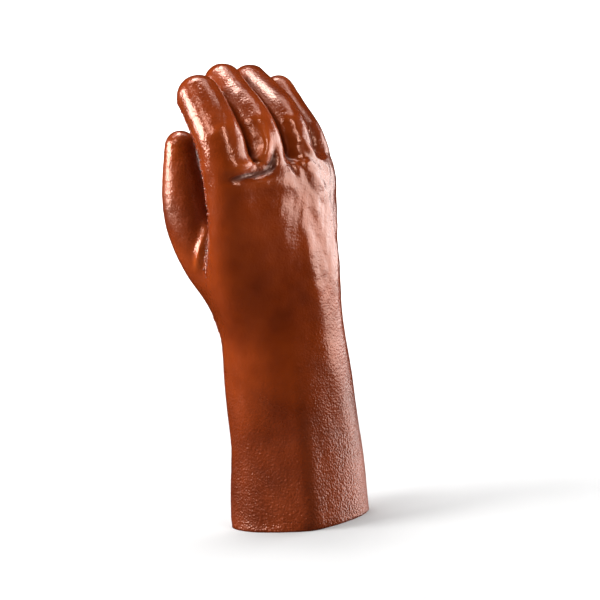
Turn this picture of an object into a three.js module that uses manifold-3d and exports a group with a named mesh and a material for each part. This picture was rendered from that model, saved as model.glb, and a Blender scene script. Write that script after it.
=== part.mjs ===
// A long dipped work glove for the right hand, standing on its cuff.
// Millimetres. Z is up, X runs from the thumb side to the little finger, Y from the back of the hand to
// the palm. The glove is one seamless shell: a sewn liner dipped in soft plastic, so one solid with five
// hollow digits.
import * as THREE from "three";
import Module from "manifold-3d";

const wasm = await Module();
wasm.setup();

// Driving dimensions
const WALL = 1.8; // coating and liner together
const CUFF_LENGTH = 145; // rim to wrist
const PALM_LENGTH = 98; // wrist to the top of the knuckle row
const RIM_WIDTH = 99;
const RIM_DEPTH = 80;
const RIM_TWIST = -20; // degrees that the flattened cuff turns against the palm
const PALM_WIDTH = 109;
const PALM_DEPTH = 50;
const FINGER_LENGTH = 125; // from inside the knuckle to the tip of the middle finger, along its bend
const FINGER_WIDTH = 29.5; // middle finger
const THUMB_LENGTH = 145; // from inside the heel of the hand to the tip
const THUMB_WIDTH = 30;
const FOLD_DEPTH = 1.5; // the deepest fold of the shell
const COLOUR = 0x9c3a1b;

// Facets
const AROUND_BODY = 52;
const AROUND_DIGIT = 16;
const BODY_ROWS = 34;
const DIGIT_ROWS = 11;
const CAP_ROWS = 4;
const INNER_SHARE = 0.7; // the lining face has fewer facets than the outside
const CUT_MARGIN = 4; // the hollow is cut past the rim by this much

// Cuff sections: up as a share of CUFF_LENGTH, width and depth of the rim's, twist of RIM_TWIST,
// and the centre's shift as shares of RIM_WIDTH. Square is the exponent of the rounded outline.
const CUFF_SECTIONS = [
  { up: 0, width: 1, depth: 1, twist: 1, across: 0, out: 0, square: 1.7 },
  { up: 0.32, width: 0.955, depth: 0.955, twist: 0.94, across: 0.014, out: -0.014, square: 1.75 },
  { up: 0.66, width: 0.91, depth: 0.895, twist: 0.72, across: 0.014, out: -0.02, square: 1.9 },
  { up: 0.94, width: 0.89, depth: 0.78, twist: 0.35, across: 0.0, out: -0.02, square: 2.05 },
];
// Palm sections: up as a share of PALM_LENGTH above the wrist, the rest as shares of the palm's sizes.
const PALM_SECTIONS = [
  { up: 0.24, width: 0.88, depth: 1.1, twist: 0, across: -0.025, out: -0.05, square: 2.15 },
  { up: 0.56, width: 0.98, depth: 0.98, twist: -0.5, across: -0.04, out: -0.09, square: 2.2 },
  { up: 0.84, width: 1.02, depth: 0.84, twist: -0.7, across: -0.02, out: -0.118, square: 2.25 },
  { up: 1, width: 1, depth: 0.74, twist: -0.7, across: -0.012, out: -0.135, square: 2.2 },
  { up: 1.09, width: 0.93, depth: 0.56, twist: -0.7, across: -0.01, out: -0.142, square: 2.1 },
  { up: 1.14, width: 0.8, depth: 0.26, twist: -0.7, across: -0.01, out: -0.14, square: 2.1 },
];
// Fingers: the knuckle's place as shares of the palm's width, length above the wrist and width again,
// length and width as shares of the middle finger's, bend towards the palm and lean to the side of the
// little finger.
const FINGERS = [
  {
    name: "index",
    across: -0.372,
    up: 0.7,
    out: -0.195,
    length: 0.925,
    width: 1.1,
    bend: [-3, 2, 33, 45],
    lean: [-4, -1, 1, 1],
  },
  {
    name: "middle",
    across: -0.085,
    up: 0.76,
    out: -0.175,
    length: 1,
    width: 1,
    bend: [-8, 19, 49, 52],
    lean: [0, 0, 0, 0],
  },
  {
    name: "ring",
    across: 0.172,
    up: 0.72,
    out: -0.12,
    length: 1.06,
    width: 0.94,
    bend: [-6, 20, 55, 60],
    lean: [1, 1, 1, 0],
  },
  {
    name: "little",
    across: 0.365,
    up: 0.62,
    out: -0.03,
    length: 0.97,
    width: 0.83,
    bend: [4, 18, 43, 48],
    lean: [6, 3, 0, 0],
  },
];
// The thumb has the same columns, from a start inside the heel of the hand.
const THUMB = { across: -0.15, up: 0.02, out: 0.04, bend: [16, 16, 8, 0], lean: [-31, -20, -4, 4] };
// Share of a digit's full width at its start, its two bends and its tip, and how thick it is for that.
const FINGER_GIRTH = { width: [0.84, 1, 0.99, 0.94], thick: 0.98 };
const THUMB_GIRTH = { width: [1.3, 1.34, 1.24, 0.76], thick: 0.94 };
const BEND_PLACES = [0, 0.4, 0.66, 1];

// Folds and dents of the cuff and palm: lines over the unrolled body, from one place to another. Around
// is the angle from the little-finger side, where -90 is the back of the hand, and up a share of the
// body's height.
const FOLDS = [
  { from: { around: -118, up: 0.02 }, to: { around: -104, up: 0.5 }, width: 16, depth: 0.8 },
  { from: { around: -160, up: 0.04 }, to: { around: -156, up: 0.52 }, width: 9, depth: -0.9 },
  { from: { around: -60, up: 0.58 }, to: { around: -72, up: 0.9 }, width: 10, depth: 0.8 },
  { from: { around: 62, up: 0.55 }, to: { around: 122, up: 0.62 }, width: 9, depth: -1 },
];

const BODY_HEIGHT = CUFF_LENGTH + PALM_LENGTH * PALM_SECTIONS[PALM_SECTIONS.length - 1].up;

// Smooth value of every column between the rows of a table, by cubic pieces.
function smoothRow(rows, place) {
  const last = rows.length - 1;
  let i = 0;
  while (i < last - 1 && place > rows[i + 1].place) {
    i++;
  }
  const span = rows[i + 1].place - rows[i].place;
  const t = THREE.MathUtils.clamp((place - rows[i].place) / span, 0, 1);
  const slope = (key, k) => {
    const low = rows[Math.max(k - 1, 0)];
    const high = rows[Math.min(k + 1, last)];
    return (high[key] - low[key]) / (high.place - low.place);
  };
  const value = {};
  for (const key of Object.keys(rows[0])) {
    const start = slope(key, i) * span;
    const end = slope(key, i + 1) * span;
    const rise = rows[i + 1][key] - rows[i][key];
    const bulge = 3 * rise - 2 * start - end + t * (start + end - 2 * rise);
    value[key] = rows[i][key] + t * (start + t * bulge);
  }
  return value;
}

const BODY = [
  ...CUFF_SECTIONS.map((s) => ({
    place: s.up * CUFF_LENGTH,
    halfWidth: (s.width * RIM_WIDTH) / 2,
    halfDepth: (s.depth * RIM_DEPTH) / 2,
    twist: s.twist * RIM_TWIST,
    x: s.across * RIM_WIDTH,
    y: s.out * RIM_WIDTH,
    square: s.square,
  })),
  ...PALM_SECTIONS.map((s) => ({
    place: CUFF_LENGTH + s.up * PALM_LENGTH,
    halfWidth: (s.width * PALM_WIDTH) / 2,
    halfDepth: (s.depth * PALM_DEPTH) / 2,
    twist: s.twist * RIM_TWIST,
    x: s.across * PALM_WIDTH,
    y: s.out * PALM_WIDTH,
    square: s.square,
  })),
];

// A place on the body rolled out flat, as lengths around and up.
function unrolled(around, up) {
  const mean = (RIM_WIDTH + RIM_DEPTH) / 4;
  return new THREE.Vector2(THREE.MathUtils.degToRad(around) * mean, up * BODY_HEIGHT);
}

// How far the folds push the body's surface out at a place on it.
function foldAt(angle, up) {
  const place = unrolled(angle, up);
  let push = 0;
  for (const fold of FOLDS) {
    const a = unrolled(fold.from.around, fold.from.up);
    const b = unrolled(fold.to.around, fold.to.up);
    const along = b.clone().sub(a);
    const t = THREE.MathUtils.clamp(place.clone().sub(a).dot(along) / along.lengthSq(), 0, 1);
    const off = place.distanceTo(a.add(along.multiplyScalar(t))) / fold.width;
    push += fold.depth * FOLD_DEPTH * Math.exp(-off * off);
  }
  return push;
}

// One outline of the cuff or palm at a height, drawn in from the outer face by inset.
function bodyRing(height, inset, count) {
  const section = smoothRow(BODY, height);
  const twist = THREE.MathUtils.degToRad(section.twist);
  const ring = [];
  for (let i = 0; i < count; i++) {
    const angle = (i / count) * 2 * Math.PI - Math.PI;
    const c = Math.cos(angle);
    const s = Math.sin(angle);
    const push = foldAt(THREE.MathUtils.radToDeg(angle), height / BODY_HEIGHT) - inset;
    const x = (section.halfWidth + push) * Math.sign(c) * Math.abs(c) ** (2 / section.square);
    const y = (section.halfDepth + push) * Math.sign(s) * Math.abs(s) ** (2 / section.square);
    ring.push(
      new THREE.Vector3(
        section.x + x * Math.cos(twist) - y * Math.sin(twist),
        section.y + x * Math.sin(twist) + y * Math.cos(twist),
        height,
      ),
    );
  }
  return ring;
}

// A closed solid through rings of equal counts, with a fan over each end.
function loft(rings) {
  const count = rings[0].length;
  const centre = (ring) => ring.reduce((sum, p) => sum.add(p), new THREE.Vector3()).divideScalar(count);
  const points = [...rings.flat(), centre(rings[0]), centre(rings[rings.length - 1])];
  const bottom = points.length - 2;
  const top = points.length - 1;
  const faces = [];
  for (let j = 0; j < count; j++) {
    const next = (j + 1) % count;
    for (let i = 0; i < rings.length - 1; i++) {
      const row = i * count;
      const above = row + count;
      faces.push(row + j, row + next, above + next, row + j, above + next, above + j);
    }
    const lastRow = (rings.length - 1) * count;
    faces.push(bottom, next, j, top, lastRow + j, lastRow + next);
  }
  const geometry = new THREE.BufferGeometry().setFromPoints(points);
  geometry.setIndex(faces);
  return geometry;
}

function solidOf(geometry) {
  return new wasm.Manifold(
    new wasm.Mesh({
      numProp: 3,
      vertProperties: new Float32Array(geometry.attributes.position.array),
      triVerts: new Uint32Array(geometry.index.array),
    }),
  );
}

function bodySolid(inset, share) {
  const rows = Math.round(BODY_ROWS * share);
  const low = inset > 0 ? -CUT_MARGIN : 0;
  const high = BODY_HEIGHT - inset;
  const rings = [];
  for (let i = 0; i <= rows; i++) {
    const height = (high * i) / rows;
    rings.push(bodyRing(height, inset, Math.round(AROUND_BODY * share)));
  }
  if (low < 0) {
    rings.unshift(rings[0].map((p) => new THREE.Vector3(p.x, p.y, low)));
  }
  return solidOf(loft(rings));
}

// The bent centre line of a digit: places, directions and widths at even steps from start to tip.
function digitLine(digit, length, width, girth, steps) {
  const rows = BEND_PLACES.map((place, k) => ({
    place,
    bend: digit.bend[k],
    lean: digit.lean[k],
    width: width * girth.width[k],
  }));
  const at = new THREE.Vector3(
    digit.across * PALM_WIDTH,
    digit.out * PALM_WIDTH,
    CUFF_LENGTH + digit.up * PALM_LENGTH,
  );
  const stations = [];
  for (let i = 0; i <= steps; i++) {
    const row = smoothRow(rows, i / steps);
    const bend = THREE.MathUtils.degToRad(row.bend);
    const lean = THREE.MathUtils.degToRad(row.lean);
    const along = new THREE.Vector3(
      Math.sin(lean),
      Math.cos(lean) * Math.sin(bend),
      Math.cos(lean) * Math.cos(bend),
    );
    stations.push({ at: at.clone(), along, width: row.width });
    at.addScaledVector(along, length / steps);
  }
  return stations;
}

// One rounded digit along its centre line, drawn in by inset.
function digitSolid(digit, length, width, girth, inset, share) {
  const count = Math.round(AROUND_DIGIT * share);
  const tip = (width * girth.width[3]) / 2;
  const stations = digitLine(digit, length - tip, width, girth, Math.round(DIGIT_ROWS * share));
  const rings = stations.map((s) => digitRing(s, s.width / 2 - inset, girth.thick, count));
  const end = stations[stations.length - 1];
  const capRows = Math.max(2, Math.round(CAP_ROWS * share));
  for (let k = 1; k <= capRows; k++) {
    const turn = (k / (capRows + 0.35)) * (Math.PI / 2);
    const radius = end.width / 2 - inset;
    const station = { ...end, at: end.at.clone().addScaledVector(end.along, radius * Math.sin(turn)) };
    rings.push(digitRing(station, radius * Math.cos(turn), girth.thick, count));
  }
  return solidOf(loft(rings));
}

function digitRing(station, radius, thick, count) {
  const side = new THREE.Vector3(1, 0, 0).addScaledVector(station.along, -station.along.x).normalize();
  const out = station.along.clone().cross(side);
  const ring = [];
  for (let i = 0; i < count; i++) {
    const angle = (i / count) * 2 * Math.PI;
    ring.push(
      station.at
        .clone()
        .addScaledVector(side, radius * Math.cos(angle))
        .addScaledVector(out, radius * thick * Math.sin(angle)),
    );
  }
  return ring;
}

// The whole glove as a closed form, drawn in by inset.
function gloveForm(inset, share) {
  let form = bodySolid(inset, share);
  for (const finger of FINGERS) {
    const length = FINGER_LENGTH * finger.length - inset;
    const width = FINGER_WIDTH * finger.width;
    form = form.add(digitSolid(finger, length, width, FINGER_GIRTH, inset, share));
  }
  return form.add(digitSolid(THUMB, THUMB_LENGTH - inset, THUMB_WIDTH, THUMB_GIRTH, inset, share));
}

function meshOf(solid, name, colour) {
  const { vertProperties, triVerts } = solid.getMesh();
  const geometry = new THREE.BufferGeometry();
  geometry.setAttribute("position", new THREE.BufferAttribute(vertProperties, 3));
  geometry.setIndex(new THREE.BufferAttribute(triVerts, 1));
  geometry.computeBoundingBox();
  const middle = geometry.boundingBox.getCenter(new THREE.Vector3());
  geometry.translate(-middle.x, -middle.y, 0);
  geometry.computeVertexNormals();
  const material = new THREE.MeshStandardMaterial({ color: colour, roughness: 0.32, metalness: 0 });
  const mesh = new THREE.Mesh(geometry, material);
  mesh.name = name;
  return mesh;
}

const shell = gloveForm(0, 1).subtract(gloveForm(WALL, INNER_SHARE));

const glove = new THREE.Group();
glove.add(meshOf(shell, "glove_shell", COLOUR));

export default glove;
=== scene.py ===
"""A long work glove dipped in red-brown PVC, standing on its cuff in a pale studio.

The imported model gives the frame: metres, Z up, the back of the hand towards -Y. The glove is one
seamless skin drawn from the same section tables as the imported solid, in millimetres.
"""

import math

import bpy
import numpy as np
from mathutils import Matrix, Vector


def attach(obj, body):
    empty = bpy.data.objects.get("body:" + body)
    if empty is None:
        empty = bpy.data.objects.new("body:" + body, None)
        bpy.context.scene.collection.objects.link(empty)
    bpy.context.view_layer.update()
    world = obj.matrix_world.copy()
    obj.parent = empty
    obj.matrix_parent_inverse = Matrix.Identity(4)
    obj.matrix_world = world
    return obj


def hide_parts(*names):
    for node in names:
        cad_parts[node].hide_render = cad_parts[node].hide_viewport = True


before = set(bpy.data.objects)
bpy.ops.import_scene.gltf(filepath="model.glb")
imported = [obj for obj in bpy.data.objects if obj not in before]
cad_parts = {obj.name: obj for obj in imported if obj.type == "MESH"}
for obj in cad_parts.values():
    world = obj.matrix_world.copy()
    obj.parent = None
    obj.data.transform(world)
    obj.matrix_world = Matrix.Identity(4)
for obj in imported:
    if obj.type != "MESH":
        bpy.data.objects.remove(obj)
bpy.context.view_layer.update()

bl_info = {
    "name": "Dipped work glove",
    "version": (1, 0, 0),
    "blender": (4, 5, 0),
    "location": "3D View > Sidebar > Glove",
    "description": "Builds a long plastic-dipped work glove and the studio that it stands in",
    "category": "Object",
}

MM = 0.001

# Driving sizes of the glove in millimetres
WALL = 1.8  # coating and liner together
CUFF_LENGTH = 145.0
PALM_LENGTH = 98.0
RIM_WIDTH = 99.0
RIM_DEPTH = 80.0
RIM_TWIST = -20.0
PALM_WIDTH = 109.0
PALM_DEPTH = 50.0
FINGER_LENGTH = 125.0
FINGER_WIDTH = 29.5
THUMB_LENGTH = 145.0
THUMB_WIDTH = 30.0
RIM_CENTRE = np.array((5.83, -7.07, 0.0))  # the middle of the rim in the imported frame

# Height as a share of CUFF_LENGTH, width and depth of the rim's, twist of RIM_TWIST, shift as
# shares of RIM_WIDTH, and the exponent of the rounded outline
CUFF_SECTIONS = (
    # up, width, depth, twist, across, out, square
    (0.0, 1.0, 1.0, 1.0, 0.0, 0.0, 1.7),
    (0.32, 0.955, 0.955, 0.94, 0.014, -0.014, 1.75),
    (0.66, 0.91, 0.895, 0.72, 0.014, -0.02, 1.9),
    (0.94, 0.89, 0.78, 0.35, 0.0, -0.02, 2.05),
)
# The same columns over the wrist, as shares of the palm's sizes
PALM_SECTIONS = (
    (0.24, 0.88, 1.1, 0.0, -0.025, -0.05, 2.15),
    (0.56, 0.98, 0.98, -0.5, -0.04, -0.09, 2.2),
    (0.84, 1.02, 0.84, -0.7, -0.02, -0.118, 2.25),
    (1.0, 1.0, 0.74, -0.7, -0.012, -0.135, 2.2),
    (1.09, 0.93, 0.56, -0.7, -0.01, -0.142, 2.1),
    (1.14, 0.8, 0.26, -0.7, -0.01, -0.14, 2.1),
)
# Root as shares of the palm, length and width as shares of the middle finger's, bend towards the
# palm and lean to the little-finger side in degrees at the four BEND_PLACES
FINGERS = {
    "index": dict(root=(-0.372, 0.7, -0.195), size=(0.925, 1.1), bend=(-3, 2, 33, 45), lean=(-4, -1, 1, 1)),
    "middle": dict(root=(-0.085, 0.76, -0.175), size=(1.0, 1.0), bend=(-8, 19, 49, 52), lean=(0, 0, 0, 0)),
    "ring": dict(root=(0.172, 0.72, -0.12), size=(1.06, 0.94), bend=(-6, 20, 55, 60), lean=(1, 1, 1, 0)),
    "little": dict(root=(0.365, 0.62, -0.03), size=(0.97, 0.83), bend=(4, 18, 43, 48), lean=(6, 3, 0, 0)),
}
THUMB = dict(root=(-0.15, 0.02, 0.04), bend=(16, 16, 8, 0), lean=(-31, -20, -4, 4))
BEND_PLACES = (0.0, 0.4, 0.66, 1.0)
FINGER_GIRTH = (0.84, 1.0, 0.99, 0.94)
THUMB_GIRTH = (1.3, 1.34, 1.24, 0.76)
FINGER_THICK = 0.98
THUMB_THICK = 0.94
THUMB_PAD = (1.0, 0.15, 0.0)  # the way that the thumb's gripping side faces

# How softly the parts of the skin run into each other
WEB_BLEND = 6.0
THUMB_BLEND = 13.0
KNUCKLE_BLEND = 7.0
GAP_BLEND = 1.5
FINGER_GAP = 2.6

# How closely the form is worked out, in millimetres unless said
SECTION_STEP = 0.5  # between two sections of the cuff and palm
DIGIT_STATIONS = 28  # straight steps along each digit
DIGIT_REACH = 34  # the distance to a digit is worked out this far from its line
FAR = 1e3  # stands for any greater distance
SLOPE_STEP = 0.2  # to either side of a point, for the way out of the skin
RIM_FLAT = 0.01  # points below this height lie on the rim
ACROSS = np.array((1.0, 0, 0))
GRID_HALF = (68, 54)  # the glove lies within this of the middle, across and front to back
TALL_TOP = 218  # the facets are tall up to here and fine from FINE_BOTTOM
FINE_BOTTOM = 219
GRID_TOP = 334
LINER_GRID = (2.9, 5.0)  # fine and tall facets of the inside
LINER_FOLD = 0.6  # the most that a fold shows on the inside

# The rough gripping zone. The edges are shares of the half depth for the palm's thumb side and
# little-finger side, and how squarely the skin has to face the grip for the digits
PALM_GRIP_EDGES = (0.36, 0.1)
FINGER_GRIP_EDGE = 0.22
THUMB_GRIP_EDGE = 0.55
THUMB_GRIP_START = (205, 223)  # the heights between which the thumb's grip sets in
WORN_PATCH = (6, 212, 13, 20)  # smooth mid-palm: across, up, half width, half height
CUFF_TOP = 165  # crumbs below this height belong to the cuff, those above to the hand

NARROW_FOLD = 5.0  # folds up to this width show in the colour of the coating, as painted shade in creases and lighter crests
FOLD_REACH = 2.5  # a fold is felt this many widths from its line
FOLD_STEPS = 4  # straight steps between two places of a fold
WAVE_COUNT = 16

# The crumbs of the grip
CHIP_CORNERS = 5  # of the foot
CHIP_SINK = 0.22  # millimetres that the foot lies in the skin
CHIP_TILT = 0.22  # how far a crumb may lean, as a share of its height

# Folds as lines over the skin: width and height in millimetres, then places as x, y, z and a share
# of the height. A height below nought is a crease.
FOLDS = {
    # the flattened cuff has a soft edge along its back, with a flatter face on either side
    "cuff_edge": (9, 3.4, ((-8, -46, 0, 1), (-7, -45, 40, 0.9), (-6, -44, 80, 0.7), (-5, -42, 125, 0.3))),
    "cuff_face_thumb": (16, -2.4, ((-31, -29, 0, 1), (-30, -28, 50, 0.8), (-27, -26, 100, 0.3))),
    "cuff_face_little": (15, -2.0, ((24, -45, 0, 1), (22, -44, 50, 0.7), (19, -42, 90, 0.3))),
    "cuff_side": (7, -1.1, ((-43, -4, 10, 0.7), (-42, -4, 60, 1), (-40, -5, 110, 0.8), (-41, -9, 150, 0.3))),
    # soft upright folds on the palm side of the cuff
    "cuff_palm_a": (7, 1.3, ((-36, 16, 0, 1), (-34, 19, 40, 1), (-30, 21, 75, 0.2))),
    "cuff_palm_b": (6, -1.2, ((-41, 5, 30, 0.3), (-36, 12, 62, 1), (-32, 17, 95, 0.4))),
    "cuff_palm_c": (9, 1.2, ((-38, 3, 84, 0.5), (-33, 12, 112, 1), (-30, 16, 145, 0.2))),
    "cuff_palm_d": (8, -1.0, ((20, 32, 0, 0.8), (18, 28, 50, 1), (14, 24, 100, 0.4))),
    # the back of the wrist
    "wrist_dent": (13, -1.0, ((-18, -38, 150, 0.4), (-8, -41, 178, 1), (4, -41, 200, 0.5))),
    "wrist_edge": (7, 1.1, (
        (17, -39, 225, 0.5), (16, -39, 195, 1), (20, -39, 165, 0.9), (26, -39, 140, 0.4))),
    # the fold that crosses under the index and middle fingers and turns up beside the middle one
    "knuckle_roll": (4.6, 3.7, (
        (-42, -46, 256, 0.15), (-31, -46, 256, 0.7), (-20, -40, 257, 1.1), (-13, -38, 259, 1.1),
        (-8, -38, 265, 1), (-6, -35, 274, 0.6), (-6, -31, 284, 0.2))),
    "knuckle_web": (4.0, 2.2, ((-15, -32, 264, 0.8), (-16, -34, 259, 1), (-17, -36, 255, 0.5))),
    "knuckle_crease": (2.8, -2.4, (
        (-44, -44, 248, 0.2), (-37, -46, 249.5, 0.7), (-28, -44, 250.5, 1), (-20, -41, 250, 1.3),
        (-12, -39, 250.5, 1.3), (-5, -40, 256, 1.1), (-2, -38, 265, 0.5))),
    "back_roll": (4.5, 1.1, (
        (-36, -45, 241, 0.3), (-22, -45, 244, 1), (-8, -42, 243, 0.8), (8, -40, 239, 0.5))),
    "back_dent": (6, -0.8, (
        (-38, -44, 230, 0.5), (-24, -45, 233, 1), (-8, -43, 232, 0.7), (8, -41, 228, 0.3))),
    # the narrow seam of skin between the middle and ring fingers
    "ring_root": (2.2, 1.4, ((14, -30, 262, 0.4), (15, -33, 254, 1), (17, -36, 245, 0.5))),
    "ring_crease": (1.5, -1.4, ((10, -33, 262, 0.5), (11, -36, 253, 1), (13, -38, 245, 0.3))),
    "ring_cross": (2.5, 1.1, ((18, -33, 258, 0.3), (22, -33, 253, 1), (30, -31, 250, 0.4))),
    # wrinkles where the back of the hand turns to the little-finger side
    "outer_a": (2.2, 0.8, ((25, -28, 273, 0.3), (29, -30, 263, 1), (38, -25, 254, 1), (48, -22, 245, 0.3))),
    "outer_b": (2.0, -0.6, (
        (23, -31, 268, 0.4), (29, -31, 257, 1), (38, -27, 248, 0.8), (46, -24, 240, 0.3))),
    "outer_c": (2.6, 0.6, ((24, -34, 251, 0.4), (28, -34, 243, 1), (37, -30, 234, 0.9), (43, -27, 224, 0.3))),
    "outer_d": (2.4, -0.4, (
        (20, -36, 243, 0.3), (27, -36, 233, 1), (35, -32, 222, 0.8), (40, -30, 212, 0.3))),
    "outer_e": (3.0, 0.4, ((21, -38, 230, 0.3), (26, -37, 220, 1), (33, -34, 206, 0.9), (38, -32, 192, 0.3))),
    "outer_f": (3.0, -0.3, (
        (17, -39, 222, 0.3), (22, -38, 208, 1), (30, -36, 192, 0.8), (33, -34, 178, 0.3))),
    # the loose skin between the thumb and the index finger
    "thumb_fold_a": (3.2, 2.7, (
        (-53, 1, 187, 0.4), (-50, -2, 194, 1.1), (-47, -3, 203, 1), (-43, -4, 213, 0.9),
        (-41, -5, 222, 0.5))),
    "thumb_fold_b": (2.6, -1.0, (
        (-49, -6, 188, 0.4), (-46, -9, 197, 1), (-44, -11, 206, 0.9), (-46, -18, 214, 0.3))),
    "thumb_fold_c": (3.2, 1.9, (
        (-47, -13, 184, 0.3), (-45, -15, 194, 1), (-45, -18, 205, 0.7), (-48, -24, 214, 0.3))),
    "thumb_web": (3.4, -1.2, ((-37, 2, 226, 0.5), (-40, 0, 216, 1), (-43, -2, 207, 0.5))),
    # knuckles of the bent fingers
    "index_knuckle": (4.5, 0.9, ((-52, -28, 276, 0.5), (-43, -37, 282, 1), (-33, -34, 285, 0.6))),
    "middle_knuckle": (4.0, 1.0, ((-18, -24, 285, 0.5), (-9, -28, 288, 1), (0, -24, 287, 0.6))),
    "ring_knuckle": (4.0, 1.0, ((12, -19, 284, 0.5), (20, -22, 284, 1), (28, -18, 281, 0.6))),
    # the thumb: a flat on its back, a round dimple in its pad
    "thumb_back": (7, -0.9, ((-60, 4, 250, 0.5), (-61, 6, 232, 1), (-60, 6, 214, 0.5))),
    "thumb_pad": (3.2, -1.6, ((-36, 27, 262, 1), (-36, 27, 261.5, 1), (-36, 27, 261, 1))),
}


def smooth_rows(places, rows, at):
    """Rows of a table at any places, by cubic pieces."""
    places = np.asarray(places, float)
    rows = np.asarray(rows, float)
    at = np.asarray(at, float)
    last = len(places) - 1
    i = np.clip(np.searchsorted(places, at, side="right") - 1, 0, last - 1)
    low = np.maximum(np.arange(last + 1) - 1, 0)
    high = np.minimum(np.arange(last + 1) + 1, last)
    slope = (rows[high] - rows[low]) / (places[high] - places[low])[:, None]
    span = (places[i + 1] - places[i])[:, None]
    t = np.clip((at - places[i])[:, None] / span, 0, 1)
    start, end = slope[i] * span, slope[i + 1] * span
    rise = rows[i + 1] - rows[i]
    return rows[i] + t * (start + t * (3 * rise - 2 * start - end + t * (start + end - 2 * rise)))


def smooth_step(value, low, high):
    """Nought below low, one above high, and a soft rise between them."""
    t = np.clip((value - low) / (high - low), 0, 1)
    return t * t * (3 - 2 * t)


def smooth_min(a, b, blend):
    """The lesser of two distances, rounded where they come within the blend of each other."""
    h = np.maximum(blend - np.abs(a - b), 0) / blend
    return np.minimum(a, b) - h * h * blend / 4


def smooth_max(a, b, blend):
    """The greater of two distances, rounded in the same way."""
    return -smooth_min(-a, -b, blend)


def unit(vectors):
    """The vectors with a length of one."""
    return vectors / np.maximum(np.linalg.norm(vectors, axis=-1, keepdims=True), 1e-9)


def body_rows():
    """Heights, and half width, half depth, twist, x, y and exponent of the section at each."""
    rows = []
    for up, width, depth, twist, across, out, square in CUFF_SECTIONS:
        half = (width * RIM_WIDTH / 2, depth * RIM_DEPTH / 2)
        rows.append((up * CUFF_LENGTH, *half, twist * RIM_TWIST, across * RIM_WIDTH, out * RIM_WIDTH, square))
    for up, width, depth, twist, across, out, square in PALM_SECTIONS:
        half = (width * PALM_WIDTH / 2, depth * PALM_DEPTH / 2)
        height = CUFF_LENGTH + up * PALM_LENGTH
        rows.append((height, *half, twist * RIM_TWIST, across * PALM_WIDTH, out * PALM_WIDTH, square))
    rows = np.array(rows)
    heights = np.arange(0, rows[-1, 0] + SECTION_STEP, SECTION_STEP)
    return heights, smooth_rows(rows[:, 0], rows[:, 1:], heights)


def digit_line(digit, length, width, girth):
    """Centre points, radii and directions along a bent digit."""
    tip = width * girth[3] / 2
    table = np.array([digit["bend"], digit["lean"], girth], float).T
    rows = smooth_rows(BEND_PLACES, table, np.linspace(0, 1, DIGIT_STATIONS + 1))
    across, up, out = digit["root"]
    start = RIM_CENTRE + (across * PALM_WIDTH, out * PALM_WIDTH, CUFF_LENGTH + up * PALM_LENGTH)
    bend, lean = np.radians(rows[:, 0]), np.radians(rows[:, 1])
    along = np.stack([np.sin(lean), np.cos(lean) * np.sin(bend), np.cos(lean) * np.cos(bend)], 1)
    steps_in = np.vstack([np.zeros(3), np.cumsum(along[:-1], 0)])
    return start + steps_in * (length - tip) / DIGIT_STATIONS, rows[:, 2] * width / 2, along


BODY_HEIGHTS, BODY_ROWS = body_rows()
BODY_TOP = BODY_HEIGHTS[-1]
LINES = {
    name: digit_line(digit, FINGER_LENGTH * digit["size"][0], FINGER_WIDTH * digit["size"][1], FINGER_GIRTH)
    for name, digit in FINGERS.items()
}
LINES["thumb"] = digit_line(THUMB, THUMB_LENGTH, THUMB_WIDTH, THUMB_GIRTH)


def body_section(points):
    """Section values at every point's height, and the point's place in that section."""
    z = np.clip(points[:, 2], 0, BODY_TOP)
    half_width, half_depth, twist, x, y, square = (np.interp(z, BODY_HEIGHTS, row) for row in BODY_ROWS.T)
    turn = np.radians(twist)
    dx = points[:, 0] - RIM_CENTRE[0] - x
    dy = points[:, 1] - RIM_CENTRE[1] - y
    u = dx * np.cos(turn) + dy * np.sin(turn)
    v = dy * np.cos(turn) - dx * np.sin(turn)
    return half_width, half_depth, square, u, v


def body_distance(points):
    """Signed distance to the cuff and palm, true near the skin."""
    a, b, n, u, v = body_section(points)
    p = np.maximum(np.abs(u) / a, 1e-6)
    q = np.maximum(np.abs(v) / b, 1e-6)
    g = np.maximum((p**n + q**n) ** (1 / n), 0.15)
    slope = g ** (1 - n) * np.hypot(p ** (n - 1) / a, q ** (n - 1) / b)
    return smooth_max((g - 1) / slope, points[:, 2] - BODY_TOP, KNUCKLE_BLEND)


def digit_distance(points, name):
    """Signed distance to one digit, and how far along it the nearest place is, in stations."""
    centres, radii, along = LINES[name]
    thick = THUMB_THICK if name == "thumb" else FINGER_THICK
    distance = np.full(len(points), FAR)
    station = np.zeros(len(points))
    low, high = centres.min(0) - DIGIT_REACH, centres.max(0) + DIGIT_REACH
    near = np.flatnonzero(np.all((points > low) & (points < high), axis=1))
    some = points[near]
    best = np.full(len(some), FAR)
    place = np.zeros(len(some))
    side = unit(ACROSS - along * along[:, :1])
    outward = np.cross(along, side)
    for i in range(len(centres) - 1):
        step = centres[i + 1] - centres[i]
        t = np.clip((some - centres[i]) @ step / (step @ step), 0, 1)
        off = some - centres[i] - t[:, None] * step
        flat = (off @ outward[i]) ** 2 * (1 / thick**2 - 1)
        d = np.sqrt((off * off).sum(1) + flat) - (radii[i] + t * (radii[i + 1] - radii[i]))
        closer = d < best
        best[closer] = d[closer]
        place[closer] = (i + t)[closer]
    distance[near] = best
    station[near] = place
    return distance, station


def glove_distance(points, inset=0.0):
    """Signed distance to the skin, or to the face that lies deeper by inset."""
    fingers = np.sort([digit_distance(points, name)[0] for name in FINGERS], axis=0) + inset
    apart = FINGER_GAP / 2 + inset - (fingers[1] - fingers[0]) / 2
    fingers_apart = smooth_max(fingers[0], apart, GAP_BLEND)
    hand = smooth_min(body_distance(points) + inset, fingers_apart, WEB_BLEND)
    thumb = digit_distance(points, "thumb")[0] + inset
    return smooth_min(hand, thumb, THUMB_BLEND)


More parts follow.
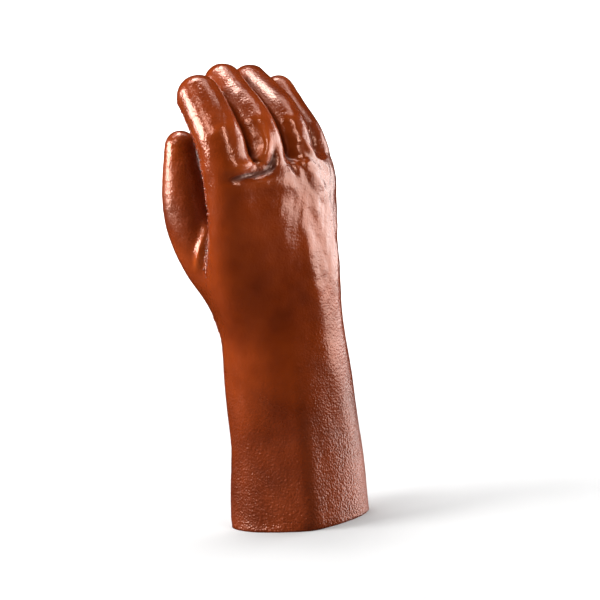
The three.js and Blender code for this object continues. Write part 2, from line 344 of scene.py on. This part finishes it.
def skin_slope(points, inset):
    """The way out of the skin at every point."""
    slope = np.empty_like(points)
    for k in range(3):
        shift = np.zeros(3)
        shift[k] = SLOPE_STEP
        slope[:, k] = glove_distance(points + shift, inset) - glove_distance(points - shift, inset)
    return unit(slope)


def surface_net(field):
    """Quads round the zero level of a sampled field, in the field's own index steps."""
    inside = field < 0
    nx, ny, nz = field.shape
    corners = [(i, j, k) for i in (0, 1) for j in (0, 1) for k in (0, 1)]
    counts = inside.astype(np.int8)
    filled = sum(counts[i : nx - 1 + i, j : ny - 1 + j, k : nz - 1 + k] for i, j, k in corners)
    cells = np.argwhere((filled > 0) & (filled < 8))
    number = np.full((nx - 1, ny - 1, nz - 1), -1)
    number[tuple(cells.T)] = np.arange(len(cells))
    total = np.zeros((len(cells), 3))
    crossings = np.zeros(len(cells))
    for start in corners:
        for axis in range(3):
            if start[axis]:
                continue
            end = [value + (k == axis) for k, value in enumerate(start)]
            a = field[tuple((cells + start).T)]
            b = field[tuple((cells + end).T)]
            cut = (a < 0) != (b < 0)
            t = np.where(cut, a / np.where(cut, a - b, 1), 0)
            total += np.where(cut[:, None], np.array(start) + t[:, None] * (np.array(end) - start), 0)
            crossings += cut
    quads = []
    for axis in range(3):
        others = [k for k in range(3) if k != axis]
        changes = np.zeros(field.shape, bool)
        front = tuple(slice(0, -1) if k == axis else slice(None) for k in range(3))
        behind = tuple(slice(1, None) if k == axis else slice(None) for k in range(3))
        changes[front] = inside[front] != inside[behind]
        for k in others:
            changes[tuple(0 if j == k else slice(None) for j in range(3))] = False
            changes[tuple(-1 if j == k else slice(None) for j in range(3))] = False
        at = np.argwhere(changes)
        ring = []
        for p, q in ((1, 1), (0, 1), (0, 0), (1, 0)):
            step = np.zeros(3, int)
            step[others] = p, q
            ring.append(number[tuple((at - step).T)])
        ring = np.stack(ring, 1)
        outward = inside[tuple(at.T)] != (axis == 1)
        ring[~outward] = ring[~outward][:, ::-1]
        quads.append(ring)
    return cells + total / crossings[:, None], np.vstack(quads)


def skin_mesh(fine, tall, inset):
    """Points and quads of one face of the glove, its open end flat on the floor, and its slopes.

    The mesh is fine over the hand, and stretched to tall steps up the cuff.
    """
    half = fine / 2
    cuff_levels = np.arange(half + tall, TALL_TOP, tall)
    hand_levels = np.arange(FINE_BOTTOM, GRID_TOP, fine)
    axes = [np.arange(-reach, reach + fine, fine) for reach in GRID_HALF]
    axes.append(np.concatenate([[-half, half], cuff_levels, hand_levels]))
    field = np.empty([len(axis) for axis in axes])
    x, y = np.meshgrid(axes[0], axes[1], indexing="ij")
    for k, z in enumerate(axes[2]):
        level = np.stack([x.ravel(), y.ravel(), np.full(x.size, max(z, half))], 1)
        field[:, :, k] = glove_distance(level, inset).reshape(x.shape)
    points, quads = surface_net(field)
    points = np.stack([np.interp(points[:, k], np.arange(len(axes[k])), axes[k]) for k in range(3)], 1)
    rim = points[:, 2] < half * 0.9
    for _ in range(2):
        slope = skin_slope(points, inset)
        slope[rim, 2] = 0
        points -= np.clip(glove_distance(points, inset), -fine, fine)[:, None] * slope
    points[rim, 2] = 0
    return points, quads, rim, unit(slope)


def fold_push(points, widest=math.inf):
    """How far the folds up to a width push every point out, in millimetres."""
    push = np.zeros(len(points))
    for width, height, places in FOLDS.values():
        if width > widest:
            continue
        count = len(places) - 1
        line = smooth_rows(range(count + 1), places, np.linspace(0, count, FOLD_STEPS * count + 1))
        low = line[:, :3].min(0) - FOLD_REACH * width
        high = line[:, :3].max(0) + FOLD_REACH * width
        near = np.flatnonzero(np.all((points > low) & (points < high), axis=1))
        some = points[near]
        best = np.full(len(some), FAR**2)
        share = np.zeros(len(some))
        for a, b in zip(line[:-1], line[1:]):
            step = b[:3] - a[:3]
            t = np.clip((some - a[:3]) @ step / max(step @ step, 1e-6), 0, 1)
            off = some - a[:3] - t[:, None] * step
            d = (off * off).sum(1)
            closer = d < best
            best[closer] = d[closer]
            share[closer] = (a[3] + t * (b[3] - a[3]))[closer]
        push[near] += height * share * np.exp(-best / width**2)
    return push


def waves(points, size, seed, stretch=1.0):
    """Smooth unevenness of about the given size, one value to a point, mostly within one."""
    rng = np.random.default_rng(seed)
    ways = unit(rng.normal(size=(WAVE_COUNT, 3))) * 2 * np.pi
    ways /= size * rng.uniform(0.75, 1.5, (WAVE_COUNT, 1))
    ways[:, 2] /= stretch
    return np.sin(points @ ways.T + rng.uniform(0, 2 * np.pi, WAVE_COUNT)).sum(1) / math.sqrt(WAVE_COUNT)


def grip_share(points, normals):
    """How far every point lies in the rough gripping zone, from nought to one."""
    z = points[:, 2]
    _, half_depth, _, u, v = body_section(points)
    edge = np.where(u < 0, *PALM_GRIP_EDGES) + 0.05 * waves(points, 30, 5)
    palm = smooth_step(v / half_depth - edge, 0, 0.12)
    across, up, half_width, half_height = WORN_PATCH
    worn = np.exp(-(((z - up) / half_height) ** 2) - ((u - across) / half_width) ** 2)
    palm *= 1 - smooth_step(worn + 0.12 * waves(points, 14, 6), 0.35, 0.7)
    body = body_distance(points)
    distances = [body - 1.0]
    shares = [palm]
    for name, (_, _, along) in LINES.items():
        distance, station = digit_distance(points, name)
        way = along[np.clip(np.round(station).astype(int), 0, len(along) - 1)]
        if name == "thumb":
            facing = unit(np.array(THUMB_PAD) - way * (way @ THUMB_PAD)[:, None])
            edge = THUMB_GRIP_EDGE
            rise = smooth_step(z, *THUMB_GRIP_START)
        else:
            facing = np.cross(way, unit(ACROSS - way * way[:, :1]))
            edge = FINGER_GRIP_EDGE
            rise = 1
        # only skin that stands clear of the palm counts as a digit's
        distances.append(distance + 9 * (1 - smooth_step(body, 0.5, 2.5)))
        shares.append(smooth_step((normals * facing).sum(1) - edge, 0, 0.16) * rise)
    return np.choose(np.argmin(distances, 0), shares)


def sculpt(points, normals):
    """Pushes the smooth skin into its folds and unevenness. Gives the height of the narrow folds, for the
    painted shade and lighter crests of the coating.
    """
    z = points[:, 2]
    a, b, _, u, v = body_section(points)
    hand = smooth_step(z, 150, 225)
    back = smooth_step(-v / b, -0.2, 0.4)
    # the outer edge of the hand, from the wrist to the little finger's knuckle
    outer = smooth_step(u / a - v / b, 0.75, 1.25)
    outer = outer * smooth_step(z, 130, 190) * (1 - smooth_step(z, 262, 285))
    push = fold_push(points)
    # broad dents, shallower over the hand, then smaller and smaller ones
    push += 0.55 * waves(points, 62, 11, 2.2) * (1 - 0.5 * hand)
    push += 0.22 * waves(points, 24, 12, 1.6)
    push += 0.10 * waves(points, 9, 13) * (0.5 + 0.5 * hand)
    # sharp little ridges along the outer edge
    crumple = 0.7 - np.abs(waves(points @ np.array([[1, 0, 0.5], [0, 1, 0.3], [-0.2, 0, 1]]), 11, 14, 1.8))
    push += outer * (0.1 * crumple + 0.1 * waves(points, 7, 17, 1.3) + 0.07 * waves(points, 4.5, 15))
    push += 0.07 * waves(points, 4.2, 16) * back * (1 - smooth_step(z, 20, 165))
    push *= 0.45 + 0.55 * smooth_step(z, 0, 6)  # the rim keeps nearer to its plain form
    relief = fold_push(points, NARROW_FOLD)
    points += normals * push[:, None]
    points[z < RIM_FLAT, 2] = 0
    return relief


def smoothed(points, quads, rounds):
    """Points drawn towards their neighbours, to round the edges of the narrow creases."""
    ends = np.vstack([quads[:, (k, (k + 1) % 4)] for k in range(4)])
    count = np.bincount(ends.ravel(), minlength=len(points))[:, None]
    rim = points[:, 2] < RIM_FLAT
    for _ in range(rounds):
        total = np.stack([
            np.bincount(ends[:, 0], points[ends[:, 1], k], len(points))
            + np.bincount(ends[:, 1], points[ends[:, 0], k], len(points))
            for k in range(3)], 1)
        moved = (points + total / count) / 2
        points = np.where(rim[:, None], points, moved)
    return points


def groove_shade_share(points):
    """How far every point lies in the grooves between the fingers, from nought to one, for the painted shade
    there.
    """
    near, second = np.sort([digit_distance(points, name)[0] for name in FINGERS], axis=0)[:2]
    between = 1 - smooth_step(second - near, FINGER_GAP * 0.8, FINGER_GAP * 2)
    return between * (1 - smooth_step(second, 3, 9))


def boundary_loop(quads):
    """The open edge of a mesh as one ring of point numbers."""
    edges = np.vstack([quads[:, (k, (k + 1) % 4)] for k in range(4)])
    edges = dict.fromkeys(map(tuple, edges.tolist()))
    follow = {a: b for a, b in edges if (b, a) not in edges}
    start = min(follow)
    ring = [start]
    while follow[ring[-1]] != start:
        ring.append(follow[ring[-1]])
    if len(ring) != len(follow):
        raise RuntimeError("the glove's rim isn't one ring")
    return ring


def join_rings(points, outer, inner):
    """Triangles between two rings that run round the same middle."""

    def turned(ring):
        """The ring in order round the middle, closed by its first point, and the angle of each."""
        flat = points[ring][:, :2] - RIM_CENTRE[:2]
        angle = np.arctan2(flat[:, 1], flat[:, 0])
        order = np.argsort(angle)
        order = np.append(order, order[0])
        turns = angle[order]
        turns[-1] += 2 * np.pi
        return np.array(ring)[order].tolist(), [*turns, np.inf]

    (a, turn_a), (b, turn_b) = turned(outer), turned(inner)
    faces = []
    i = j = 0
    while i < len(outer) or j < len(inner):
        if turn_a[i + 1] <= turn_b[j + 1]:
            faces.append((a[i], b[j], a[i + 1]))
            i += 1
        else:
            faces.append((a[i], b[j], b[j + 1]))
            j += 1
    return faces


def add_object(name, data):
    """An object of the scene that carries the given mesh, light or camera."""
    thing = bpy.data.objects.new(name, data)
    bpy.context.scene.collection.objects.link(thing)
    return thing


def new_piece(name, points, faces, materials):
    """A smoothly shaded piece of the scene, from points in millimetres."""
    mesh = bpy.data.meshes.new(name)
    mesh.from_pydata((points * MM).tolist(), [], faces)
    mesh.shade_smooth()
    for material in materials:
        mesh.materials.append(material)
    return add_object(name, mesh)


def store(mesh, name, values):
    """Keeps one value to a point, which the materials read by its name."""
    attribute = mesh.attributes.new(name, "FLOAT", "POINT")
    attribute.data.foreach_set("value", np.asarray(values, np.float32))


class Nodes:
    """Short ways to make and join the nodes of one material."""

    def __init__(self, name):
        self.material = bpy.data.materials.new(name)
        self.material.use_nodes = True
        self.tree = self.material.node_tree
        self.shader = self.tree.nodes["Principled BSDF"]
        self.place = self.tree.nodes.new("ShaderNodeTexCoord").outputs["Object"]

    def add(self, kind, inputs=None, **settings):
        """A node of one kind, its inputs joined or set, and its own settings."""
        node = self.tree.nodes.new(kind)
        for key, value in settings.items():
            setattr(node, key, value)
        self.fill(node, inputs or {})
        return node

    def fill(self, node, inputs):
        """Joins each input to the socket given for it, or sets it to the value given."""
        for key, value in inputs.items():
            if isinstance(value, bpy.types.NodeSocket):
                self.tree.links.new(value, node.inputs[key])
            else:
                node.inputs[key].default_value = value

    def noise(self, scale, detail=2.0, roughness=0.5):
        """Soft patches, so many to a metre."""
        inputs = {"Vector": self.place, "Scale": scale, "Detail": detail, "Roughness": roughness}
        return self.add("ShaderNodeTexNoise", inputs).outputs["Fac"]

    def cells(self, scale, smoothness):
        """Rounded cells, so many to a metre."""
        inputs = {"Vector": self.place, "Scale": scale, "Smoothness": smoothness}
        return self.add("ShaderNodeTexVoronoi", inputs, feature="SMOOTH_F1").outputs["Distance"]

    def attribute(self, name):
        """A value that the mesh carries at its points."""
        return self.add("ShaderNodeAttribute", attribute_name=name).outputs["Fac"]

    def spread(self, value, low, high, to_low, to_high):
        """A value moved from one range to another, and held inside it."""
        keys = {"Value": value, "From Min": low, "From Max": high, "To Min": to_low, "To Max": to_high}
        return self.add("ShaderNodeMapRange", keys).outputs["Result"]

    def math(self, operation, a, b):
        return self.add("ShaderNodeMath", {0: a, 1: b}, operation=operation).outputs[0]

    def ramp(self, value, stops):
        """A colour for each value, between stops of a value and a colour."""
        node = self.add("ShaderNodeValToRGB", {"Fac": value})
        elements = node.color_ramp.elements
        while len(elements) < len(stops):
            elements.new(0.5)
        for element, (place, colour) in zip(elements, stops):
            element.position = place
            element.color = (*colour, 1)
        return node.outputs["Color"]

    def mix(self, share, a, b):
        """The colour a, going over to b as the share goes from nought to one."""
        keys = {"Factor": share, 6: a, 7: b}
        return self.add("ShaderNodeMix", keys, data_type="RGBA").outputs[2]

    def bump(self, height, distance, below=None):
        """Fine relief of a height in metres, over the relief below."""
        keys = {"Height": height, "Distance": distance}
        if below:
            keys["Normal"] = below
        return self.add("ShaderNodeBump", keys).outputs["Normal"]

    def finish(self, inputs):
        """Fills the shader and gives the finished material."""
        self.fill(self.shader, inputs)
        return self.material


# Colours of the coating: lighter on the crests of narrow folds, partly a thinner coat and partly painted
# light; painted shade in creases and between the fingers; and the darker coat of the grip
THIN_AND_LIT_CREST = (0.32, 0.054, 0.007, 1)
PAINTED_CREASE_SHADE = (0.035, 0.003, 0.0006, 1)
GRIPPED = (0.11, 0.012, 0.002, 1)
LEATHER = 640  # cells to a metre in the leathery pebbles and in the grip


def pvc_material(settings):
    """Glossy red-brown plastic: darker where it is thick, pebbled near the rim, rough on the palm, with
    painted shade in its creases and between the fingers, and lighter fold crests that are partly a thinner
    coat and partly painted light.
    """
    n = Nodes("pvc_red_brown")
    grip, relief, groove_shade, pebble, matte = map(n.attribute, ("grip", "relief", "groove_shade", "pebble", "matte"))
    patches = n.noise(17, 3, 0.6)
    colour = n.ramp(patches, ((0.3, settings.thick_colour), (0.7, settings.thin_colour)))
    # lighter on the crests of the narrow folds: partly a thinner coat, partly painted light
    crest_light = n.spread(relief, 0.2, 2.0, 0, 0.5)
    colour = n.mix(crest_light, colour, THIN_AND_LIT_CREST)
    # painted shade: darker in the creases and in the grooves between the fingers
    crease_shade = n.spread(relief, -0.2, -1.3, 0, 0.9)
    crease_shade = n.math("MAXIMUM", crease_shade, n.math("MULTIPLY", groove_shade, 0.8))
    colour = n.mix(crease_shade, colour, PAINTED_CREASE_SHADE)
    colour = n.mix(n.math("MULTIPLY", grip, 0.6), colour, GRIPPED)
    rough = n.spread(n.noise(60, 4, 0.65), 0.3, 0.7, 0.13, 0.22)
    rough = n.math("ADD", rough, n.math("MULTIPLY", pebble, 0.18))
    rough = n.math("ADD", rough, n.math("MULTIPLY", matte, 0.1))
    rough = n.math("ADD", rough, n.math("MULTIPLY", crease_shade, 0.2))
    fine = n.bump(n.noise(1150, 2, 0.6), 0.00004)
    grain = n.bump(n.noise(560, 2, 0.55), 0.0002, below=fine)
    pebbles = n.math("MULTIPLY", n.cells(LEATHER, 0.6), pebble)
    pebbles = n.bump(pebbles, settings.pebble_height, below=grain)
    crumbs = n.math("MULTIPLY", n.cells(LEATHER, 0.25), grip)
    crumbs = n.bump(crumbs, 0.0006, below=pebbles)
    return n.finish({
        "Base Color": colour,
        "Roughness": rough,
        "Normal": crumbs,
        "Specular IOR Level": 0.65,
        "Specular Tint": (1.0, 0.48, 0.32, 1),
        "Coat Weight": settings.gloss,
        "Coat Roughness": 0.1,
        "Coat Normal": crumbs,
    })


def chip_material():
    """The crumbs of the grip, glossy and unevenly dark."""
    n = Nodes("pvc_grip_chips")
    colour = n.ramp(n.noise(900, 1), ((0.35, (0.10, 0.011, 0.003)), (0.65, (0.24, 0.036, 0.009))))
    return n.finish({
        "Base Color": colour,
        "Roughness": n.spread(n.noise(300), 0.3, 0.7, 0.2, 0.36),
        "Normal": n.bump(n.noise(1700, 2), 0.00009),
        "Coat Weight": 0.4,
        "Coat Roughness": 0.08,
    })


def liner_material():
    """The inside: a plain knitted jersey that the plastic is dipped over."""
    n = Nodes("liner_jersey")
    ribs = n.add("ShaderNodeTexWave", {"Vector": n.place, "Scale": 210.0, "Distortion": 1.2, "Detail": 1.0})
    rows = n.add("ShaderNodeTexWave", {"Vector": n.place, "Scale": 260.0, "Distortion": 0.8},
                 bands_direction="Z")
    knit = n.math("MULTIPLY", ribs.outputs["Fac"], rows.outputs["Fac"])
    colour = n.ramp(knit, ((0.0, (0.36, 0.30, 0.22)), (0.7, (0.62, 0.56, 0.45))))
    return n.finish({
        "Base Color": colour,
        "Roughness": n.spread(n.noise(400), 0.3, 0.7, 0.8, 0.95),
        "Normal": n.bump(knit, 0.0003),
        "Sheen Weight": 0.3,
    })


def make_coating(settings):
    """The closed skin of the glove: the dipped outside, the lined inside and the cut rim."""
    points, quads, _, slope = skin_mesh(settings.skin_grid / MM, settings.cuff_grid / MM, 0.0)
    grip = grip_share(points, slope)
    relief = sculpt(points, slope)
    points = smoothed(points, quads, 2)
    inside, inside_quads, inside_rim, inside_slope = skin_mesh(*LINER_GRID, WALL)
    inside += inside_slope * np.minimum(fold_push(inside), LINER_FOLD)[:, None]
    inside[inside_rim, 2] = 0
    every = np.vstack([points, inside])
    inside_quads = inside_quads[:, ::-1] + len(points)
    rim_faces = join_rings(every, boundary_loop(quads), boundary_loop(inside_quads))
    faces = quads.tolist() + inside_quads.tolist() + rim_faces
    piece = new_piece("glove_coating", every, faces, [pvc_material(settings), liner_material()])
    mesh = piece.data
    counts = (len(quads), len(inside_quads), len(rim_faces))
    mesh.polygons.foreach_set("material_index", np.repeat((0, 1, 0), counts))
    mesh.polygons.foreach_set("use_smooth", np.repeat((True, True, False), counts))
    z = points[:, 2]
    _, half_depth, _, _, v = body_section(points)
    pebble = 0.1 + 0.9 * (1 - smooth_step(z, 15, 150)) + 0.15 * smooth_step(v / half_depth, -0.6, 0.4)
    thumb, _ = digit_distance(points, "thumb")
    matte = smooth_step(-np.abs(thumb), -7, -2) * smooth_step(z, 195, 225) * (1 - smooth_step(z, 256, 270))
    # the folds' heights and the grooves between the fingers carry the painted shade and lighter crests to the
    # colour
    values = {
        "grip": grip,
        "relief": relief,
        "groove_shade": groove_shade_share(points),
        "matte": matte * (1 - grip),
        "pebble": pebble * (1 - grip),
    }
    for name, outside in values.items():
        store(mesh, name, np.concatenate([outside, np.zeros(len(inside))]))
    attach(piece, "root")
    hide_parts("glove_shell")
    print("glove_coating triangles", 2 * (len(quads) + len(inside_quads)) + len(rim_faces))


def read_values(items, key, width=1):
    """One property of every item of a mesh, as rows of the given width."""
    values = np.empty(len(items) * width, np.float32)
    items.foreach_get(key, values)
    return values.reshape(-1, width)


def chip_points(rng, quad, normal, chip_size):
    """One low crumb at a random place in each quad: the corners of its foot, and its top."""
    total = len(quad)
    s, t = rng.random((2, total, 1))
    at = (1 - s) * ((1 - t) * quad[:, 0] + t * quad[:, 3]) + s * ((1 - t) * quad[:, 1] + t * quad[:, 2])
    up = unit(unit(normal) + rng.normal(0, CHIP_TILT, (total, 3)))
    side = unit(np.cross(up, rng.normal(size=(total, 3))))
    other = np.cross(up, side)
    size = chip_size * rng.uniform(0.55, 1.3, (total, 1)) ** 1.3
    points = np.empty((total, CHIP_CORNERS + 1, 3))
    for k in range(CHIP_CORNERS):
        turn = 2 * np.pi * k / CHIP_CORNERS
        reach = size * rng.uniform(0.38, 0.68, (total, 1))
        points[:, k] = at + reach * (math.cos(turn) * side + math.sin(turn) * other) - CHIP_SINK * up
    points[:, CHIP_CORNERS] = at + up * size * rng.uniform(0.35, 0.6, (total, 1)) + side * size * 0.1
    points[:, :, 2] = np.maximum(points[:, :, 2], 0.05)
    return points


def make_chips(settings):
    """Crumbs of plastic over the gripping zone, in one piece for the hand and one for the cuff."""
    skin = bpy.data.objects["glove_coating"].data
    if "grip" not in skin.attributes:
        raise RuntimeError("the coating has to be built before its grip")
    places = read_values(skin.vertices, "co", 3).astype(float) / MM
    normals = read_values(skin.vertices, "normal", 3).astype(float)
    grip = read_values(skin.attributes["grip"].data, "value").ravel()
    outside = (face for face in skin.polygons if len(face.vertices) == 4 and face.material_index == 0)
    faces = np.array([list(face.vertices) for face in outside])
    corner = places[faces]
    area = np.linalg.norm(np.cross(corner[:, 2] - corner[:, 0], corner[:, 3] - corner[:, 1]), axis=1) / 2
    share = grip[faces].mean(1)
    rng = np.random.default_rng(7)
    material = chip_material()
    cuff = corner[:, :, 2].mean(1) < CUFF_TOP
    fan = np.array([(k, (k + 1) % CHIP_CORNERS, CHIP_CORNERS) for k in range(CHIP_CORNERS)])
    for name, zone in (("grip_chips_hand", ~cuff), ("grip_chips_cuff", cuff)):
        weight = area * np.clip(share * 1.5 - 0.5, 0, 1) * zone
        total = int(weight.sum() / (settings.chip_spacing / MM) ** 2)
        pick = rng.choice(len(faces), total, p=weight / weight.sum())
        points = chip_points(rng, corner[pick], normals[faces[pick]].mean(1), settings.chip_size / MM)
        first = (CHIP_CORNERS + 1) * np.arange(total)
        triangles = (fan[None] + first[:, None, None]).reshape(-1, 3)
        piece = new_piece(name, points.reshape(-1, 3), triangles.tolist(), [material])
        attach(piece, "root")
        print(name, "triangles", len(triangles))


def area_light(name, place, aim, size, power):
    """A softbox of the given width and height, turned to what it lights."""
    data = bpy.data.lights.new(name, "AREA")
    data.shape = "RECTANGLE"
    data.size, data.size_y = size
    data.energy = power
    light = add_object(name, data)
    light.location = place
    light.rotation_euler = (aim - place).to_track_quat("-Z", "Y").to_euler()


# The studio, in metres
SWEEP = (
    # back, up
    (-2.2, 0), (0.9, 0), (1.15, 0.015), (1.35, 0.07), (1.5, 0.18), (1.6, 0.36), (1.64, 0.6), (1.66, 2.6),
)
SWEEP_HALF_WIDTH = 3.0
LAMPS = {
    # name: right, front, up, aim up, width, height, share of the key power
    "right_box": (0.87, -0.27, 0.32, 0.2, 0.95, 0.58, 1.1),
    "right_low_box": (0.8, -0.42, -0.25, 0.1, 0.6, 0.4, 0.35),
    "left_box": (-1.0, 0.07, 0.6, 0.25, 0.6, 0.5, 2.5),
    "front_strip": (0.66, 0.76, 0.95, 0.25, 0.14, 0.65, 0.75),
    "front_left_box": (-0.62, 0.56, 1.1, 0.25, 0.35, 0.35, 0.5),
    "top_box": (-0.15, -0.25, 1.3, 0.3, 0.45, 0.35, 0.9),
}
BACKDROP_SHARE = 4
VIEW_AZIMUTH = -30.0
VIEW_HEIGHT = 8.0
VIEW_DISTANCE = 1.5
VIEW_ROLL = 6.0
FRAME_WIDTH = 600  # pixels
VIEW_SCALE = 0.0007  # metres of the glove to a pixel
SENSOR_WIDTH = 36
LOOK_HEIGHT = 0.16
LOOK_PIXEL = (277.5, 296.0)  # where that height over the rim's middle lies in the frame


def make_stage():
    """A pale paper sweep: floor and backdrop in one, with painted shadow that greys it near the glove and a
    painted glow that brightens it further off.
    """
    rows = [[(-SWEEP_HALF_WIDTH, y, z), (SWEEP_HALF_WIDTH, y, z)] for y, z in SWEEP]
    turn = Matrix.Rotation(math.radians(VIEW_AZIMUTH), 4, "Z")
    mesh = bpy.data.meshes.new("studio_sweep")
    faces = [(2 * i, 2 * i + 1, 2 * i + 3, 2 * i + 2) for i in range(len(rows) - 1)]
    mesh.from_pydata([turn @ Vector(p) for row in rows for p in row], [], faces)
    mesh.shade_smooth()
    n = Nodes("studio_paper")
    reach = n.add("ShaderNodeVectorMath", {0: n.place}, operation="LENGTH").outputs["Value"]
    # painted shadow: the paper is darker near the glove
    shadow_tone = n.math("ADD", n.spread(reach, 0.3, 1.2, 0, 0.85), n.math("MULTIPLY", n.noise(6, 2), 0.15))
    colour = n.ramp(shadow_tone, ((0.0, (0.36, 0.36, 0.36)), (1.0, (0.86, 0.86, 0.86))))
    mesh.materials.append(n.finish({
        "Base Color": colour,
        "Roughness": 0.8,
        "Specular IOR Level": 0.2,
        # painted light: the paper glows, more the farther it lies from the glove
        "Emission Color": (1, 1, 1, 1),
        "Emission Strength": n.spread(reach, 0.8, 1.7, 0, 0.75),
    }))
    floor = add_object("studio_sweep", mesh)
    floor.visible_glossy = False
    floor.visible_shadow = False


def make_lights(settings):
    """The softboxes round the glove, and surroundings that only the camera sees as white."""
    world = bpy.data.worlds.new("studio")
    world.use_nodes = True
    background = world.node_tree.nodes["Background"]
    background.inputs["Color"].default_value = (1, 1, 1, 1)
    background.inputs["Strength"].default_value = 0.9
    world.cycles_visibility.diffuse = False
    world.cycles_visibility.glossy = False
    bpy.context.scene.world = world
    bpy.context.scene.view_settings.view_transform = "Standard"
    azimuth = math.radians(VIEW_AZIMUTH)
    right = Vector((math.cos(azimuth), math.sin(azimuth), 0))
    front = Vector((math.sin(azimuth), -math.cos(azimuth), 0))
    up = Vector((0, 0, 1))
    for name, (x, y, z, aim, width, height, share) in LAMPS.items():
        place = right * x + front * y + up * z
        area_light(name, place, up * aim, (width, height), settings.key_power * share)
    area_light("backdrop_box", up * 2.3 - front * 0.5, up * 0.3 - front * 1.5, (2.6, 0.8),
               settings.key_power * BACKDROP_SHARE)


def make_camera():
    """The camera in front of the glove's back, a little above it and rolled."""
    a, e, r = (math.radians(v) for v in (VIEW_AZIMUTH, VIEW_HEIGHT, VIEW_ROLL))
    back = Vector((math.sin(a) * math.cos(e), -math.cos(a) * math.cos(e), math.sin(e)))
    level = Vector((math.cos(a), math.sin(a), 0))
    upright = back.cross(level)
    side = level * math.cos(r) - upright * math.sin(r)
    top = upright * math.cos(r) + level * math.sin(r)
    look = Vector(RIM_CENTRE * MM) + Vector((0, 0, LOOK_HEIGHT))
    across, down = (FRAME_WIDTH / 2 - pixel for pixel in LOOK_PIXEL)
    look += side * across * VIEW_SCALE - top * down * VIEW_SCALE
    data = bpy.data.cameras.new("camera")
    data.sensor_width = SENSOR_WIDTH
    data.lens = SENSOR_WIDTH * VIEW_DISTANCE / (FRAME_WIDTH * VIEW_SCALE)
    camera = add_object("camera", data)
    turn = Matrix((side, top, back)).transposed()
    camera.matrix_world = Matrix.Translation(look + back * VIEW_DISTANCE) @ turn.to_4x4()
    bpy.context.scene.camera = camera


class GloveSettings(bpy.types.PropertyGroup):
    """Sizes, colours and finish of the glove's skin and grip, and the strength of the light"""

    thick_colour: bpy.props.FloatVectorProperty(
        name="Thick coating", description="Colour where the plastic lies thick", size=3,
        default=(0.085, 0.0098, 0.001), min=0, max=1, subtype="COLOR")
    thin_colour: bpy.props.FloatVectorProperty(
        name="Thin coating", description="Colour where the plastic lies thin", size=3,
        default=(0.2, 0.0285, 0.0036), min=0, max=1, subtype="COLOR")
    skin_grid: bpy.props.FloatProperty(
        name="Skin grid", description="Size of the skin's facets over the hand", default=0.00125,
        min=0.001, max=0.006, precision=5, unit="LENGTH")
    cuff_grid: bpy.props.FloatProperty(
        name="Cuff grid", description="Height of the skin's facets up the cuff", default=0.0019,
        min=0.001, max=0.01, precision=5, unit="LENGTH")
    gloss: bpy.props.FloatProperty(
        name="Gloss", description="Clear gloss over the plastic", default=0.12,
        min=0, max=1, subtype="FACTOR")
    pebble_height: bpy.props.FloatProperty(
        name="Pebble height", description="Height of the leathery pebbles near the rim", default=0.0005,
        min=0, max=0.002, precision=5, unit="LENGTH")
    chip_spacing: bpy.props.FloatProperty(
        name="Chip spacing", description="Mean distance between the crumbs of the grip", default=0.0014,
        min=0.0012, max=0.01, precision=5, unit="LENGTH")
    chip_size: bpy.props.FloatProperty(
        name="Chip size", description="Width of one crumb of the grip", default=0.00135,
        min=0.0003, max=0.005, precision=5, unit="LENGTH")
    key_power: bpy.props.FloatProperty(
        name="Key light", description="Power that the softboxes take their shares of", default=10,
        min=0, unit="POWER")


class GLOVE_OT_coating(bpy.types.Operator):
    """Build the glove's dipped skin with its folds and its lined inside"""

    bl_idname = "glove.coating"
    bl_label = "Coating"

    def execute(self, context):
        make_coating(context.scene.glove)
        return {"FINISHED"}


class GLOVE_OT_chips(bpy.types.Operator):
    """Strew the gripping side of the coating with crumbs of plastic"""

    bl_idname = "glove.chips"
    bl_label = "Grip chips"

    def execute(self, context):
        make_chips(context.scene.glove)
        return {"FINISHED"}


class GLOVE_OT_studio(bpy.types.Operator):
    """Set up the pale sweep, the softboxes and the camera"""

    bl_idname = "glove.studio"
    bl_label = "Studio"

    def execute(self, context):
        make_stage()
        make_lights(context.scene.glove)
        make_camera()
        return {"FINISHED"}


OPERATORS = (GLOVE_OT_coating, GLOVE_OT_chips, GLOVE_OT_studio)


class GLOVE_PT_panel(bpy.types.Panel):
    """The glove's settings and the steps that build it"""

    bl_idname = "GLOVE_PT_panel"
    bl_label = "Work glove"
    bl_space_type = "VIEW_3D"
    bl_region_type = "UI"
    bl_category = "Glove"

    def draw(self, context):
        column = self.layout.column()
        for name in GloveSettings.__annotations__:
            column.prop(context.scene.glove, name)
        for operator in OPERATORS:
            column.operator(operator.bl_idname)


def register():
    """Makes the settings, the steps and the panel known."""
    for kind in (GloveSettings, *OPERATORS, GLOVE_PT_panel):
        bpy.utils.register_class(kind)
    bpy.types.Scene.glove = bpy.props.PointerProperty(type=GloveSettings)


def unregister():
    """Takes them out again."""
    del bpy.types.Scene.glove
    for kind in reversed((GloveSettings, *OPERATORS, GLOVE_PT_panel)):
        bpy.utils.unregister_class(kind)


def main():
    """Builds the glove and its studio."""
    register()
    bpy.ops.glove.coating()
    bpy.ops.glove.chips()
    bpy.ops.glove.studio()


if __name__ == "__main__":
    main()
